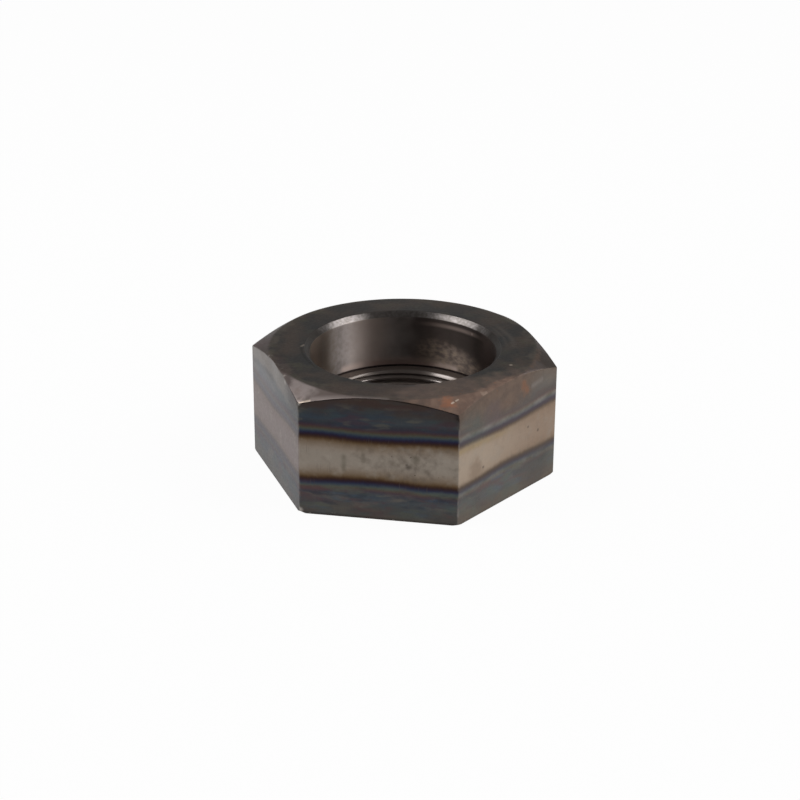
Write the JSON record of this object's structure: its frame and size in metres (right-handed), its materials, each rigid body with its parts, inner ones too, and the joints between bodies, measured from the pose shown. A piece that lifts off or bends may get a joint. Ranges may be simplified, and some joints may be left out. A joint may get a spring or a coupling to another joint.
{
  "type": "lock nut",
  "caption": "Heavy hexagon lock nut in heat-tinted steel, chamfered on top, with a plain counterbore above a fine right-hand thread that locks on a stud or a threaded sleeve.",
  "frame": {"origin": "centre of the seat face, on the thread axis", "axes": "+Z along the thread axis from the seat towards the counterbore, with two flats facing -Y and +Y and two corners on -X and +X"},
  "size_m": [0.0692, 0.06, 0.0284],
  "materials": {
    "tinted_steel": "bare machined steel with dark heat tint in blue and brown bands round a plain middle band"
  },
  "bodies": {
    "root": {"lock_nut": "tinted_steel"}
  },
  "joints": []
}
